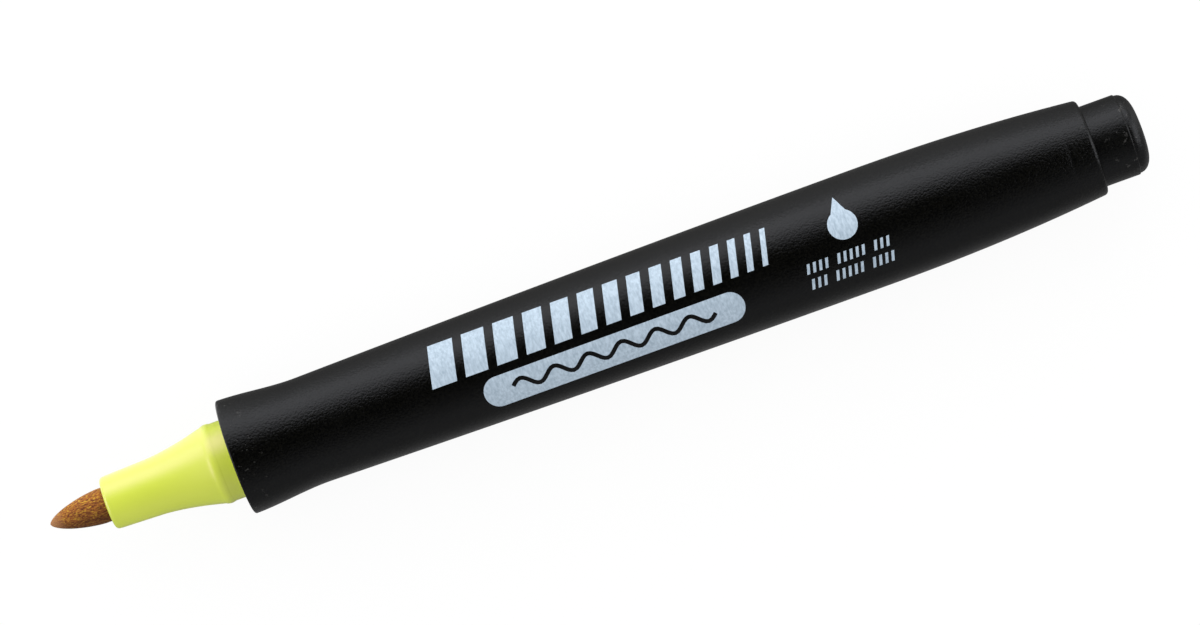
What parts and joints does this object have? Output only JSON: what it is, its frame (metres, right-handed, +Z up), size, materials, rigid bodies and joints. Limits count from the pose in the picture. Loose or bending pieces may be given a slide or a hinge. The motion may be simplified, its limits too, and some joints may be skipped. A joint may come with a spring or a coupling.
{
  "type": "fibre-tip marker pen",
  "caption": "Fibre-tip marker pen with its cap off: black swelling barrel, yellow-green nose holder with a bullet nib, and a rear post for the cap.",
  "frame": {"origin": "on the pen's axis, in the plane of the barrel's front rim, where the cap's rim stops", "axes": "+X along the pen from the nib to the tail, +Z up with the pen lying on its side and its printed side up"},
  "size_m": [0.1337, 0.014, 0.014],
  "materials": {
    "barrel_plastic": "black, fine matt grain",
    "nose_plastic": "yellow-green, satin gloss",
    "nib_fibre": "ochre-brown bonded fibre, ground to a point",
    "wad_fibre": "off-white bundled fibre",
    "wrap_film": "thin clear film",
    "plug_plastic": "black, smooth matt",
    "print_ink": "silver-blue screen print, faintly brushed"
  },
  "bodies": {
    "barrel": {"barrel": "barrel_plastic", "nose_holder": "nose_plastic", "reservoir_core": "wad_fibre", "reservoir_wrap": "wrap_film"},
    "nib": {"nib": "nib_fibre"},
    "end_plug": {"end_plug": "plug_plastic"}
  },
  "joints": [
    {"name": "nib_pull", "type": "slide", "parent": "barrel", "child": "nib", "axis": [-1, 0, 0], "range_m": [0, 0.035]},
    {"name": "end_plug_pull", "type": "slide", "parent": "barrel", "child": "end_plug", "axis": [1, 0, 0], "range_m": [0, 0.016]}
  ]
}
